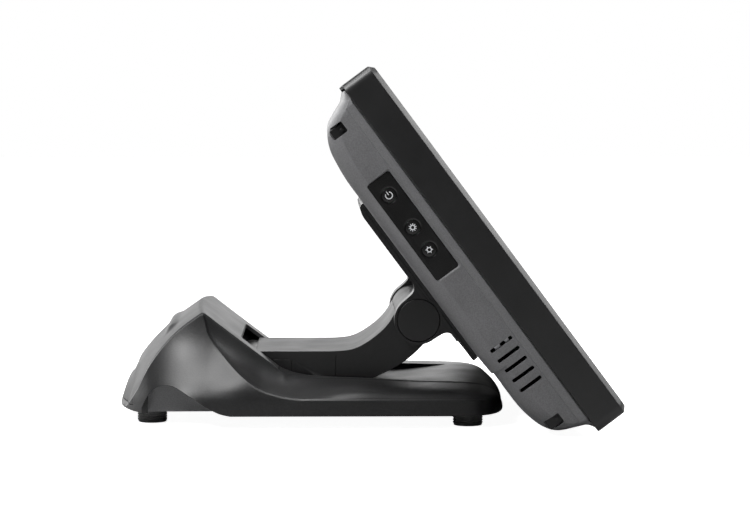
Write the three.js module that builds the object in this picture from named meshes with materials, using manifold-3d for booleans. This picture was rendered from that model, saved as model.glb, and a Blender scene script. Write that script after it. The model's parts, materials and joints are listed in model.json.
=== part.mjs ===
// POS touchscreen terminal: a 15 inch panel computer on a swan-neck arm that folds into a low plastic base.
// Millimetres, +Z up. The screen faces -Y and the origin is on the table under the middle of the object: the
// design is drawn about the middle of the base, and one group shifts it there.
// The head is drawn upright in its own group (Y is depth behind the front, Z is up the screen, X = 0 and
// Z = 0 at the middle of the screen) and the group leans it back.
import * as THREE from "three";
import { mergeVertices } from "three/addons/utils/BufferGeometryUtils.js";
import Module from "manifold-3d";

const wasm = await Module();
wasm.setup();

// ---- driving dimensions -----------------------------------------------------------------------------
const GAP = 0.4; // clearance between pieces that touch
const WALL = 2.6; // plastic wall

const HEAD = { halfWidth: 185, halfHeight: 152, bezelDepth: 26.3, lean: 36.62, frontY: -92.1, frontZ: 142.5 };
const SCREEN = { halfWidth: 153, halfHeight: 115 };
const HOUSING = { halfWidth: 182.4, sideHalfWidth: 180.2, depth: 63.4, lowerDepth: 61.4 };
const TILT_PIVOT = { depth: 83.3, up: -21.5 }; // in the head's frame
const EAR = { radius: 18, inner: 59.5, outer: 78.5 };
const PLATE = { front: 64, back: 70.6, top: 73, bottom: -70.4 };
const BUTTON = { radius: 5.1, depth: 45.4 };
const BUTTON_HEIGHTS = { power_button: 70.5, brightness_up_button: 42.5, brightness_down_button: 23 };
const BUTTON_PANEL = { low: 2.6, high: 85, near: 35.4, far: 54.2 };
const VENT_HEIGHTS = [-61, -69.8, -78.5, -87.3, -96];

const ARM_HALF_WIDTH = 58.5;
const LIFT_PIVOT = { y: 87.8, z: 33.4, radius: 17.4 };
const LEAN = THREE.MathUtils.degToRad(HEAD.lean);
// The tilt pivot again, in the frame of the whole object, with the arm's knuckle round it.
const KNUCKLE = {
  y: HEAD.frontY + TILT_PIVOT.depth * Math.cos(LEAN) + TILT_PIVOT.up * Math.sin(LEAN),
  z: HEAD.frontZ - TILT_PIVOT.depth * Math.sin(LEAN) + TILT_PIVOT.up * Math.cos(LEAN),
  radius: 16.9,
};

const BASE = { halfWidth: 125, front: -102.4, rear: 187, bottom: 10 };
const NOSE = { length: 48, power: 3.8, crown: 3.5 };
const TAIL = { length: 72, power: 2.45, crown: 9.5, lowCrown: 13 };
const MIDDLE_Y = 2.5; // the middle of the object's length, from the middle of the base
const COVER = { halfWidth: 85, front: 66, sill: 14 };
const DECK_HALF_WIDTH = 70;
const SLOT = { halfWidth: 62, rear: 94.3 };
const RECESS = { floor: 25.4, front: -72, rear: 56 };
const FOOT = { radius: 11, height: 9.2 };
const FEET = { front: { x: 97, y: -73.7 }, rear: { x: 71.5, y: 159.9 } };

// ---- materials --------------------------------------------------------------------------------------
const finish = (color, roughness, metalness = 0) =>
  new THREE.MeshStandardMaterial({ color, roughness, metalness });
const charcoal = finish(0x3b3c3f, 0.62);
const satinBlack = finish(0x1d1e20, 0.5);
const glossBlack = finish(0x0d0d0f, 0.12);
const coverGrey = finish(0x4a4b4f, 0.6);
const screenGlass = finish(0x0b0c0e, 0.08);
const rubber = finish(0x17181a, 0.85);
const steel = finish(0x9a9da1, 0.35, 1);
const aluminium = finish(0xb9bcc0, 0.4, 1);
const circuitGreen = finish(0x1f4a2e, 0.55);
const nylon = finish(0xd8d6cc, 0.5);

// ---- solids -----------------------------------------------------------------------------------------
function solid(geometry) {
  const bare = geometry.clone();
  bare.deleteAttribute("normal");
  bare.deleteAttribute("uv");
  const merged = mergeVertices(bare, 1e-4);
  const mesh = new wasm.Mesh({
    numProp: 3,
    vertProperties: merged.attributes.position.array,
    triVerts: new Uint32Array(merged.index.array),
  });
  return new wasm.Manifold(mesh);
}

// The biggest body of a solid, without the crumbs that a cut can leave.
function biggest(made) {
  return made.decompose().reduce((best, body) => (body.volume() > best.volume() ? body : best));
}

const join = (first, ...others) => others.reduce((whole, piece) => whole.add(piece), first);
const cut = (first, ...others) => others.reduce((whole, piece) => whole.subtract(piece), first);

function meshOf(name, made, material) {
  const { numProp, vertProperties, triVerts } = made.getMesh();
  const positions = new Float32Array((vertProperties.length / numProp) * 3);
  for (let i = 0; i < positions.length / 3; i++) {
    positions.set(vertProperties.subarray(i * numProp, i * numProp + 3), i * 3);
  }
  const geometry = new THREE.BufferGeometry();
  geometry.setAttribute("position", new THREE.BufferAttribute(positions, 3));
  geometry.setIndex(new THREE.BufferAttribute(triVerts, 1));
  geometry.computeVertexNormals();
  const mesh = new THREE.Mesh(geometry, material);
  mesh.name = name;
  return mesh;
}

// A closed outline through [a, b] points; a point with a third number has its corner rounded by that much.
function outline(points) {
  const shape = new THREE.Shape();
  points.forEach(([a, b, radius = 0], i) => {
    const corner = new THREE.Vector2(a, b);
    const toward = (other) => {
      const step = new THREE.Vector2(other[0], other[1]).sub(corner);
      return corner.clone().add(step.setLength(Math.min(radius, step.length() / 2)));
    };
    const arrive = toward(points[(i + points.length - 1) % points.length]);
    const leave = toward(points[(i + 1) % points.length]);
    if (i === 0) shape.moveTo(arrive.x, arrive.y);
    else shape.lineTo(arrive.x, arrive.y);
    if (radius > 0) shape.quadraticCurveTo(corner.x, corner.y, leave.x, leave.y);
  });
  shape.closePath();
  return shape;
}

const rectangle = (a0, a1, b0, b1, radius = 0) =>
  outline([
    [a0, b0, radius],
    [a1, b0, radius],
    [a1, b1, radius],
    [a0, b1, radius],
  ]);

function extruded(shape, depth, curveSegments) {
  return new THREE.ExtrudeGeometry(shape, { depth, bevelEnabled: false, curveSegments });
}

const AXIS = { x: [1, 0, 0], y: [0, 1, 0], z: [0, 0, 1], backward: [0, -1, 0] };
const basis = (...names) => new THREE.Matrix4().makeBasis(...names.map((n) => new THREE.Vector3(...AXIS[n])));

// Extrusions of an outline drawn in (y, z), in (x, z) and in (x, y).
const alongX = (shape, x0, x1, segments = 4) =>
  solid(extruded(shape, x1 - x0, segments).applyMatrix4(basis("y", "z", "x")).translate(x0, 0, 0));
const alongY = (shape, y0, y1, segments = 4) =>
  solid(extruded(shape, y1 - y0, segments).applyMatrix4(basis("x", "z", "backward")).translate(0, y1, 0));
const alongZ = (shape, z0, z1, segments = 4) => solid(extruded(shape, z1 - z0, segments).translate(0, 0, z0));

function block(x0, x1, y0, y1, z0, z1) {
  const geometry = new THREE.BoxGeometry(x1 - x0, y1 - y0, z1 - z0);
  return solid(geometry.translate((x0 + x1) / 2, (y0 + y1) / 2, (z0 + z1) / 2));
}

function rodX(radius, x0, x1, y, z, sides = 18) {
  const geometry = new THREE.CylinderGeometry(radius, radius, x1 - x0, sides);
  return solid(geometry.rotateZ(Math.PI / 2).translate((x0 + x1) / 2, y, z));
}

const rodY = (radius, x, y0, y1, z, sides = 12) =>
  solid(new THREE.CylinderGeometry(radius, radius, y1 - y0, sides).translate(x, (y0 + y1) / 2, z));

// A value that follows [place, value] points by straight stretches.
function track(points) {
  const places = points.map((p) => p[0]);
  const values = points.map((p) => p[1]);
  const line = new THREE.LinearInterpolant(places, values, 1, new Float64Array(1));
  return (place) => line.evaluate(THREE.MathUtils.clamp(place, places[0], places[places.length - 1]))[0];
}

// Both sides of the object: a name ending and the sign of X (the user's left is -X).
const SIDES = [
  ["left", -1],
  ["right", 1],
];
const spanX = (side, inner, outer) => (side < 0 ? [-outer, -inner] : [inner, outer]);

// ---- base -------------------------------------------------------------------------------------------
// The upper outline in side view: the nose, the deck and the hump's front slope, and the hump's back at its
// side edges. The back is crowned, so it stands further out in the middle.
const frontHeight = track([
  [BASE.front, 12], [-101.5, 16], [-100.3, 19.3], [-98, 22.3], [-94.5, 24.8], [-89, 26.8], [-81, 28.1],
  [-66, 28.9], [0, 30], [40, 30.8], [52, 33], [62, 38], [75.7, 48.2], [135, 93.3],
]);
const rearHeight = track([
  [100, 97], [120.9, 82.6], [138.6, 70.4], [149.7, 59.3], [160.8, 44.5], [166.7, 33.4], [170.5, 24],
  [173, 16], [174, 12],
]);
// The crease that parts the flank from the scooped deck, up to the ridge of the hump.
const creaseHeight = track([
  [BASE.front, 11.4], [-101.5, 14], [-100.3, 17], [-98, 19.4], [-94.5, 20.7], [-89, 21], [48, 21],
  [60, 22.2], [69, 24.4], [78, 27.4], [86, 32], [95.5, 39.5], [105, 49], [113.5, 59.5], [117.5, 66.5],
  [120, 73.5],
]);
const creaseHalfWidth = track([
  [48, 124], [60, 123.6], [78, 120], [95.5, 112], [105, 106], [113.5, 99], [117.5, 95], [120, 91],
]);

const shoulderHalfWidth = track([
  [20, DECK_HALF_WIDTH], [62, COVER.halfWidth + 1],
]);
const noseCrown = track([
  [-60, NOSE.crown], [20, 0],
]);
const rearCrown = track([
  [155, TAIL.crown], [BASE.rear, TAIL.lowCrown],
]);

// Half the width of the base at the floor: straight sides with superelliptic ends.
function planHalfWidth(y) {
  const end = y < 0 ? NOSE : TAIL;
  const outward = y < 0 ? BASE.front + end.length - y : y - (BASE.rear - end.length);
  const share = THREE.MathUtils.clamp(outward / end.length, 0, 0.9999);
  return BASE.halfWidth * (1 - share ** end.power) ** (1 / end.power);
}

function topHeight(x, y) {
  const across = Math.min(Math.abs(x) / COVER.halfWidth, 1) ** 2;
  return Math.min(frontHeight(y - noseCrown(y) * across), rearHeight(y - rearCrown(y) * (1 - across)));
}

const STATIONS = [
  -101.7, -101.1, -99.7, -97.3, -93.8, -88.5, -82, -73, -62, 0, 20, 42, 52, 60, 69, 78, 86, 95.5, 105, 113.5,
  118, 121, 124.5, 128, 134, 141, 149.7, 156, 162, 167, 171, 175, 179, 182, 184.6, 186.3,
];

// Half a section across the base, from the bottom middle round the flank and over the top. `inset` moves
// it inwards, for the hollow of the shell, or outwards if it is negative.
function baseHalfSection(y, inset) {
  const near = inset > 0 ? [y - inset, y, y + inset] : [y];
  const lowest = (height) => Math.min(...near.map(height)) - inset * 0.6;
  const topAt = (x) => lowest((place) => topHeight(x, place));
  const plan = Math.max(Math.min(...near.map(planHalfWidth)) - inset, 2);
  const shoulderX = Math.min(shoulderHalfWidth(y), plan * 0.9);
  const shoulder = new THREE.Vector2(shoulderX, topAt(shoulderX) - 0.5);
  const behindRidge = y > 121;
  const crease = behindRidge
    ? new THREE.Vector2(shoulder.x + (plan - shoulder.x) * 0.08, shoulder.y - 1)
    : new THREE.Vector2(
        Math.min(creaseHalfWidth(y) - inset, plan * 0.985),
        Math.min(lowest(creaseHeight), shoulder.y - 1),
      );
  const bottom = new THREE.Vector2(plan, inset > 0 ? BASE.bottom - 5 : BASE.bottom);
  const rise = crease.y - bottom.y;
  const flank = new THREE.CubicBezierCurve(
    bottom,
    new THREE.Vector2(bottom.x, bottom.y + rise * 0.45),
    new THREE.Vector2(crease.x + (bottom.x - crease.x) * 0.18, crease.y - rise * 0.5),
    crease,
  );
  const cove = new THREE.QuadraticBezierCurve(
    crease,
    new THREE.Vector2(shoulder.x + (crease.x - shoulder.x) * 0.1, crease.y + (shoulder.y - crease.y) * 0.2),
    shoulder,
  );
  const overTop = [0.72, 0.4, 0].map((share) => shoulderX * share).map((x) => new THREE.Vector2(x, topAt(x)));
  return [new THREE.Vector2(0, bottom.y), ...flank.getPoints(4), ...cove.getPoints(3).slice(1), ...overTop];
}

// A closed skin through the sections at the stations, mirrored about X = 0.
function loft(stations, inset) {
  const positions = [];
  const index = [];
  const rings = stations.map((y) => {
    const half = baseHalfSection(y, inset);
    const mirrored = half.slice(1, -1).reverse();
    return [...half.map((p) => [p.x, y, p.y]), ...mirrored.map((p) => [-p.x, y, p.y])];
  });
  const count = rings[0].length;
  rings.forEach((ring) => ring.forEach((point) => positions.push(...point)));
  for (let row = 0; row + 1 < rings.length; row++) {
    for (let i = 0; i < count; i++) {
      const a = row * count + i;
      const b = row * count + ((i + 1) % count);
      index.push(a, b + count, b, a, a + count, b + count);
    }
  }
  const last = (rings.length - 1) * count;
  for (let i = 1; i + 1 < count; i++) {
    index.push(0, i, i + 1);
    index.push(last, last + i + 1, last + i);
  }
  const geometry = new THREE.BufferGeometry();
  geometry.setAttribute("position", new THREE.Float32BufferAttribute(positions, 3));
  geometry.setIndex(index);
  return solid(geometry);
}

// The trough in the deck that the arm lies in, and the slot that it leaves the hump by.
function troughCutter(grow) {
  const half = SLOT.halfWidth + grow;
  const floor = RECESS.floor - grow;
  const trough = outline([
    [RECESS.rear + grow, floor], [RECESS.rear + grow, 90], [RECESS.front - grow, 90],
    [RECESS.front - grow, 29.6 - grow], [-28, floor],
  ]);
  return alongX(trough, -half, half);
}

const slotCutter = () => block(-SLOT.halfWidth, SLOT.halfWidth, RECESS.rear - 2, SLOT.rear, RECESS.floor, 90);

function archCutters() {
  const arch = outline([
    [171, 4], [167.8, 9.3], [161.8, 22.3, 4], [156, 28.9, 4], [148.5, 31.4, 4], [140.6, 30.4, 4],
    [121, 18.4, 9], [109.3, 11.4, 4], [99, 9.2], [96, 4],
  ]);
  return SIDES.map(([, side]) => alongX(arch, ...spanX(side, 99, 130), 3));
}

function baseShells() {
  const form = cut(loft(STATIONS, 0), troughCutter(0), slotCutter());
  const insideStations = STATIONS.filter((y) => y > BASE.front + 4 && y < BASE.rear - 4);
  const hollow = cut(loft(insideStations, WALL), troughCutter(WALL));
  const skin = cut(form, hollow, slotCutter(), ...archCutters());
  const coverRegion = (clear) =>
    block(
      -COVER.halfWidth - clear, COVER.halfWidth + clear, COVER.front - clear, BASE.rear + 5,
      COVER.sill - clear, 100,
    );
  const ribBand = alongX(outline([[134, 70], [140, 64.5], [151, 76], [145, 81.5]]), -56, 56);
  const rib = cut(loft(STATIONS, -2).intersect(ribBand), loft(STATIONS, 1));
  const gripBand = alongX(outline([[158, 38.6], [190, 46], [190, 30], [162, 31]]), -66, 66);
  const grip = cut(gripBand, loft(STATIONS, 1.3));
  const rearCover = cut(join(skin.intersect(coverRegion(0)), rib), grip);
  return { topShell: biggest(cut(skin, coverRegion(GAP))), rearCover: biggest(rearCover) };
}

function footAt(name, x, y) {
  const profile = [
    [0, 0], [FOOT.radius - 0.8, 0], [FOOT.radius, 0.8], [FOOT.radius - 0.3, 4], [FOOT.radius, 8.2],
    [FOOT.radius - 0.6, FOOT.height], [0, FOOT.height],
  ].map(([radius, z]) => new THREE.Vector2(radius, z));
  const lathe = new THREE.LatheGeometry(profile, 20).rotateX(Math.PI / 2);
  const mesh = meshOf(name, solid(lathe), rubber);
  mesh.position.set(x, y, 0);
  return mesh;
}

function bottomPlate() {
  const inset = WALL + GAP + 0.8;
  const plan = STATIONS.filter((y) => y > BASE.front + 7 && y < BASE.rear - 8);
  const halfWidth = (y) => Math.min(planHalfWidth(y - inset), planHalfWidth(y + inset)) - inset - 0.6;
  const right = plan.map((y) => [halfWidth(y), y]);
  const left = right.map(([x, y]) => [-x, y]).reverse();
  const sheet = alongZ(outline([...right, ...left]), 10.3, 11.8);
  const besideArches = SIDES.map(([, side]) => block(...spanX(side, 89.2, 140), 92, 190, 5, 20));
  return cut(sheet, ...besideArches);
}

function hingeBlock(side) {
  const upright = outline([
    [LIFT_PIVOT.y - 14, 12.3], [LIFT_PIVOT.y + 14, 12.3], [LIFT_PIVOT.y + 14, 38, 8],
    [LIFT_PIVOT.y + 8, 47, 6], [LIFT_PIVOT.y - 4, 47, 6], [LIFT_PIVOT.y - 14, 38, 8],
  ]);
  const plate = alongX(upright, ...spanX(side, 62.8, 67.4));
  const flange = block(...spanX(side, 62.8, 84), LIFT_PIVOT.y - 14, LIFT_PIVOT.y + 14, 12.3, 15.8);
  return cut(join(plate, flange), rodX(6.4, ...spanX(side, 60, 70), LIFT_PIVOT.y, LIFT_PIVOT.z));
}

function sideInsert(side) {
  const panel = outline([[99, 9], [160, 9], [157, 20], [150, 33], [136, 33], [99, 18]]);
  const plate = alongX(panel, ...spanX(side, 89.6, 92));
  return join(plate, block(...spanX(side, 84, 89.8), 100, 115, 12.4, 14.6));
}

function buildBase() {
  const group = new THREE.Group();
  const { topShell, rearCover } = baseShells();
  group.add(meshOf("base_top_shell", topShell, charcoal));
  group.add(meshOf("base_rear_cover", rearCover, coverGrey));
  group.add(meshOf("base_bottom_plate", bottomPlate(), steel));
  for (const [name, side] of SIDES) {
    group.add(meshOf(`hinge_block_${name}`, hingeBlock(side), steel));
    group.add(meshOf(`cable_arch_panel_${name}`, sideInsert(side), charcoal));
    group.add(footAt(`foot_front_${name}`, side * FEET.front.x, FEET.front.y));
    group.add(footAt(`foot_rear_${name}`, side * FEET.rear.x, FEET.rear.y));
  }
  const adapter = alongX(rectangle(112, 152, 13, 42, 4), -72, 72, 3);
  group.add(meshOf("power_adapter", adapter, satinBlack));
  const socket = cut(block(-88.6, -72.5, 118, 146, 14.8, 35), block(-95, -76, 121, 143, 18, 32));
  group.add(meshOf("power_inlet", socket, satinBlack));
  return group;
}

// ---- arm --------------------------------------------------------------------------------------------
// Points of the arm's upper and lower line in (y, z), from the lift knuckle to the tilt knuckle.
const ARM_TOP = [
  [LIFT_PIVOT.y, 50.8], [16.3, 50.8, 8], [5, 55, 6], [-9.2, 64.6, 6], [-17, 72.4, 4], [-21.5, 80.5],
];
const ARM_BOTTOM = [
  [-46, 60], [-36.7, 49.8, 6], [-25.6, 41, 5], [-11.9, 34, 5], [-3, 30.2, 5], [12.1, 29.8, 8],
  [46.9, 32.4, 8], [80.9, 17.6],
];

function armForm(inset, halfWidth) {
  const lower = (points, amount) => points.map(([y, z, radius]) => [y, z + amount, radius]);
  const spine = outline([...lower(ARM_TOP, -inset), ...lower(ARM_BOTTOM, inset)]);
  return join(
    alongX(spine, -halfWidth, halfWidth, 3),
    rodX(LIFT_PIVOT.radius - inset, -halfWidth, halfWidth, LIFT_PIVOT.y, LIFT_PIVOT.z, 26),
    rodX(KNUCKLE.radius - inset, -halfWidth, halfWidth, KNUCKLE.y, KNUCKLE.z, 26),
  );
}

// The lid is a strip under the arm's upper line; its cutter is a little larger.
function lidStrip(thickness, clear) {
  const upper = [[LIFT_PIVOT.y - 4 + clear, 60], [-12, 90], [-26, 90]];
  const under = ARM_TOP.slice(1).map(([y, z, radius]) => [y - thickness * 0.45, z - thickness, radius]);
  return outline([...upper, [-26, 84], ...under.reverse(), [LIFT_PIVOT.y - 4 + clear, 50.8 - thickness]]);
}

// Where the lid wraps over the top of the tilt knuckle.
function knuckleSector(clear) {
  const { y, z } = KNUCKLE;
  return outline([
    [y - clear, z - clear], [y + 30, z + 8 - clear], [y + 20, z + 30], [y - 2 - clear, z + 30],
  ]);
}

function buildArm() {
  const group = new THREE.Group();
  const whole = armForm(0, ARM_HALF_WIDTH);
  const shaftHole = (pivot, radius) => rodX(radius, -90, 90, pivot.y, pivot.z);
  const shaftHoles = [shaftHole(LIFT_PIVOT, 6.4), shaftHole(KNUCKLE, 5.4)];
  const lidWithin = (thickness, clear) => {
    const across = [-57 - clear, 57 + clear];
    const outlines = [lidStrip(thickness, clear), knuckleSector(clear)];
    const region = join(...outlines.map((line) => alongX(line, ...across)));
    return cut(region, rodX(KNUCKLE.radius - thickness, -70, 70, KNUCKLE.y, KNUCKLE.z, 26));
  };
  const lid = whole.intersect(lidWithin(2.6, 0));
  const lidRoom = lidWithin(3, GAP);
  const hollow = armForm(WALL, ARM_HALF_WIDTH - WALL);
  const body = cut(whole, lidRoom, cut(hollow, lidRoom), ...shaftHoles);
  group.add(meshOf("arm_body", body, satinBlack));
  group.add(meshOf("arm_top_cover", lid, coverGrey));

  const channel = cut(armForm(6, 44), alongX(lidStrip(6.5, 2), -60, 60));
  const bosses = [KNUCKLE, LIFT_PIVOT].map(({ y, z }) => rodX(12, -45, 45, y, z));
  const trough = cut(armForm(8.5, 41.5), ...bosses);
  group.add(meshOf("arm_frame", cut(channel, trough, ...shaftHoles), steel));

  group.add(meshOf("lift_shaft", rodX(6, -74, 74, LIFT_PIVOT.y, LIFT_PIVOT.z), steel));
  group.add(meshOf("tilt_shaft", rodX(5, -75, 75, KNUCKLE.y, KNUCKLE.z), steel));
  for (const [name, side] of SIDES) {
    const washer = cut(rodX(13, ...spanX(side, 58.9, 62.4), LIFT_PIVOT.y, LIFT_PIVOT.z), shaftHoles[0]);
    group.add(meshOf(`lift_friction_washer_${name}`, washer, nylon));
    const nut = cut(rodX(9.5, ...spanX(side, 67.8, 73), LIFT_PIVOT.y, LIFT_PIVOT.z, 6), shaftHoles[0]);
    group.add(meshOf(`lift_nut_${name}`, nut, steel));
  }
  return group;
}

// ---- head -------------------------------------------------------------------------------------------
const centred = (halfWidth, halfHeight, radius = 0) =>
  rectangle(-halfWidth, halfWidth, -halfHeight, halfHeight, radius);

function frontBezel() {
  const bevel = 3.6;
  const face = new THREE.ExtrudeGeometry(centred(HEAD.halfWidth - bevel, HEAD.halfHeight - bevel, 7), {
    depth: HEAD.bezelDepth, bevelSize: bevel, bevelThickness: bevel, bevelSegments: 2, curveSegments: 4,
  });
  const form = solid(face.applyMatrix4(basis("x", "z", "backward")).translate(0, HEAD.bezelDepth + bevel, 0));
  const behind = block(-200, 200, HEAD.bezelDepth - GAP, 60, -170, 170);
  const inside = alongY(centred(HEAD.halfWidth - WALL, HEAD.halfHeight - WALL, 8), 3.2, 80);
  const window = alongY(centred(SCREEN.halfWidth, SCREEN.halfHeight), -5, 20);
  return cut(form, behind, inside, window);
}

// The rear housing in side view (y is the depth, z is up), above and below its middle.
const HOUSING_PROFILE = [
  [HEAD.bezelDepth, 148.2], [32.6, 143, 2], [48.8, 136, 4], [54, 132.4, 4], [60.4, 118.4, 7],
  [HOUSING.depth, 98, 6], [HOUSING.depth, -60, 4], [62.6, -75], [HOUSING.lowerDepth, -75.8], [61.2, -106, 6],
  [58.9, -119.6, 6], [50.2, -135.9, 4], [30.8, -144, 2], [HEAD.bezelDepth, -148.4],
];

function housingForm(inset) {
  const half = HOUSING.halfWidth - inset;
  const flank = HOUSING.sideHalfWidth - inset;
  const deep = HOUSING.depth - inset;
  const front = HEAD.bezelDepth - (inset ? 10 : 0);
  const side = HOUSING_PROFILE.map(([y, z, radius], i) => {
    const atEnd = i === 0 || i === HOUSING_PROFILE.length - 1;
    return [atEnd ? front : y - inset, z - Math.sign(z) * inset, radius];
  });
  const across = [
    [half, front], [half, 32.2], [flank, 33], [flank - 1.4, 53.5, 3], [flank - 5.5, 60, 5],
    [flank - 18, deep, 6],
  ];
  const mirrored = across.map(([x, y, radius]) => [-x, y, radius]).reverse();
  const plan = alongY(centred(half, 148.8 - inset, 9), front - 1, 80);
  return alongX(outline(side), -200, 200, 3)
    .intersect(alongZ(outline([...across, ...mirrored]), -170, 170, 3))
    .intersect(plan);
}

function rearHousing() {
  const shell = cut(housingForm(0), housingForm(WALL));
  const openings = [block(-106, 106, 50, 70, -124, -78)];
  for (const [, side] of SIDES) {
    const through = spanX(side, 170, 190);
    for (const z of VENT_HEIGHTS) {
      openings.push(alongX(rectangle(35.6, 52.2, z - 1.5, z + 1.5, 0.6), ...through));
    }
    openings.push(block(...through, 41.4, 53, 124, 132.6));
    openings.push(block(...through, 41.2, 53, -132, -123.8));
  }
  const { near, far, low, high } = BUTTON_PANEL;
  openings.push(alongX(rectangle(near, far, low, high, 1.2), -190, -170));
  for (const x of [-50, 50]) {
    for (const z of [-50, 50]) openings.push(rodY(2.3, x, 55, 70, z));
  }
  return cut(shell, ...openings);
}

function buttonPanel() {
  const { near, far, low, high } = BUTTON_PANEL;
  const face = alongX(rectangle(near + GAP, far - GAP, low + GAP, high - GAP, 1), -178.4, -175.6);
  const rim = alongX(rectangle(near - 2, far - 1, low - 2, high + 2), -175.7, -174.4);
  const hole = (z) => rodX(BUTTON.radius + 0.4, -180, -170, BUTTON.depth, z);
  return cut(join(face, rim), ...Object.values(BUTTON_HEIGHTS).map(hole));
}

function pushButton() {
  return join(rodX(BUTTON.radius, -178.8, -174, 0, 0), block(-174.1, -172.8, -7, 7, -4, 4));
}

function buttonBoard() {
  const board = block(-171, -169.4, 36.5, 53.5, 6, 82);
  const switches = Object.values(BUTTON_HEIGHTS).map((z) => block(-171.9, -170.8, 43, 48, z - 2.5, z + 2.5));
  return join(board, ...switches);
}

function panelFrame() {
  const tray = cut(
    alongY(centred(166, 130, 2), 7, 17.6),
    alongY(centred(164.8, 128.8, 1), 0, 16.4),
  );
  const posts = [-112, 92].flatMap((x) => [-72, 82].map((z) => rodY(3, x, 17.5, 23.6, z, 10)));
  return join(tray, ...posts);
}

function mainboard() {
  const board = block(-120, 100, 24, 25.6, -80, 90);
  const processor = block(-50, -14, 25.5, 28.6, 10, 46);
  const memory = block(20, 88, 25.5, 33, 20, 50);
  const ports = [-96, -62, -30, 0, 30, 62].map((x) => block(x, x + 24, 25.5, 41, -81, -62));
  return join(board, processor, memory, ...ports);
}

function heatSink() {
  const plate = block(-66, 2, 29, 32, -6, 62);
  const fins = Array.from({ length: 9 }, (_, i) => -66 + i * 8.25);
  return join(plate, ...fins.map((x) => block(x, x + 2, 31.9, 44, -6, 62)));
}

// The plate on the back of the head with the two ears that hold the arm's knuckle between them.
function tiltBracket() {
  const { depth, up } = TILT_PIVOT;
  const { front, back, top, bottom } = PLATE;
  const profile = outline([
    [front, bottom, 2], [back - 1.8, bottom, 4], [back - 1.8, bottom + 8, 2], [back, 0], [back, top - 6.5, 3],
    [front + 1, top, 1], [front, top - 2],
  ]);
  const neck = outline([
    [back - 3, up - 24], [back - 3, up + 24], [back - 0.2, up + 24], [back + 2.2, up + 18.8, 4],
    [depth, up + EAR.radius], [depth, up - EAR.radius], [back + 1.6, up - 18.8, 4], [back - 1.6, up - 24],
  ]);
  const ears = SIDES.map(([, side]) =>
    join(
      alongX(neck, ...spanX(side, EAR.inner, EAR.outer), 3),
      rodX(EAR.radius, ...spanX(side, EAR.inner, EAR.outer), depth, up, 30),
    ),
  );
  const pockets = SIDES.flatMap(([, side]) => [
    rodX(16.2, ...spanX(side, 76, 90), depth, up, 30),
    rodX(10.5, ...spanX(side, 69.6, 90), depth, up),
    rodX(12.4, ...spanX(side, 59, 61.6), depth, up),
  ]);
  const screwHoles = [-50, 50].flatMap((x) => [-50, 50].map((z) => rodY(4.6, x, 60, 80, z)));
  const knuckleRoom = rodX(KNUCKLE.radius + 0.6, -EAR.inner + 0.1, EAR.inner - 0.1, depth, up, 30);
  const bore = rodX(5.4, -90, 90, depth, up);
  const whole = join(alongX(profile, -EAR.outer, EAR.outer), ...ears);
  return cut(whole, knuckleRoom, bore, ...pockets, ...screwHoles);
}

function bracketScrew(name, x, z) {
  const screw = join(rodY(1.9, 0, 58, 68, 0, 12), rodY(4, 0, 67.9, 70.4, 0));
  const mesh = meshOf(name, screw, steel);
  mesh.position.set(x, 0, z);
  return mesh;
}

function buildHead() {
  const group = new THREE.Group();
  group.position.set(0, HEAD.frontY, HEAD.frontZ);
  group.rotation.x = -LEAN;
  const add = (name, made, material) => group.add(meshOf(name, made, material));

  add("front_bezel", frontBezel(), satinBlack);
  add("touch_glass", alongY(centred(158, 120, 2), 3.6, 5.6), screenGlass);
  add("lcd_panel", alongY(centred(163, 126.5), 6, 16), satinBlack);
  add("panel_frame", panelFrame(), steel);
  add("mainboard", mainboard(), circuitGreen);
  add("heat_sink", heatSink(), aluminium);
  add("storage_drive", block(106, 158, 20, 29.5, -10, 60), aluminium);
  add("rear_housing", rearHousing(), charcoal);
  const portCover = block(-105.4, 105.4, 56.4, 58.8, -123.4, -78.6);
  add("port_cover", join(portCover, block(-30, 30, 58.7, 59.3, -118, -110)), charcoal);

  add("button_panel", buttonPanel(), glossBlack);
  add("button_board", buttonBoard(), circuitGreen);
  for (const [name, z] of Object.entries(BUTTON_HEIGHTS)) {
    const button = meshOf(name, pushButton(), glossBlack);
    button.position.set(0, BUTTON.depth, z);
    group.add(button);
  }

  const lockPlate = cut(block(-176.4, -174.6, 38, 50, -66, -56), rodX(2.2, -180, -170, 43.4, -61, 12));
  add("lock_plate", lockPlate, steel);
  for (const [name, side] of SIDES) {
    const [x0, x1] = spanX(side, 172, 176);
    add(`latch_upper_${name}`, block(x0, x1, 42, 52.4, 124.6, 132), satinBlack);
    add(`latch_lower_${name}`, block(x0, x1, 42, 52.4, -131.4, -124.4), satinBlack);
    const speaker = rectangle(side * 140 - 18, side * 140 + 18, -116, -96, 6);
    add(`speaker_${name}`, alongY(speaker, 24, 40), satinBlack);
    const cap = rodX(15.6, ...spanX(side, 76.4, EAR.outer + 0.1), TILT_PIVOT.depth, TILT_PIVOT.up, 30);
    add(`pivot_cap_${name}`, cap, satinBlack);
    const around = rodX(5.4, ...spanX(side, 50, 90), TILT_PIVOT.depth, TILT_PIVOT.up);
    const washer = rodX(12, ...spanX(side, 58.9, 61.2), TILT_PIVOT.depth, TILT_PIVOT.up);
    add(`tilt_friction_washer_${name}`, cut(washer, around), nylon);
    const nut = rodX(9, ...spanX(side, 70, 74.6), TILT_PIVOT.depth, TILT_PIVOT.up, 6);
    add(`tilt_nut_${name}`, cut(nut, around), steel);
  }
  add("tilt_bracket", tiltBracket(), satinBlack);
  [["upper", 50], ["lower", -50]].forEach(([row, z]) => {
    SIDES.forEach(([name, side]) => group.add(bracketScrew(`bracket_screw_${row}_${name}`, side * 50, z)));
  });
  return group;
}

const terminal = new THREE.Group();
const design = new THREE.Group();
design.position.y = -MIDDLE_Y;
design.add(buildBase(), buildArm(), buildHead());
terminal.add(design);

export default terminal;
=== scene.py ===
import json
import math

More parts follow.
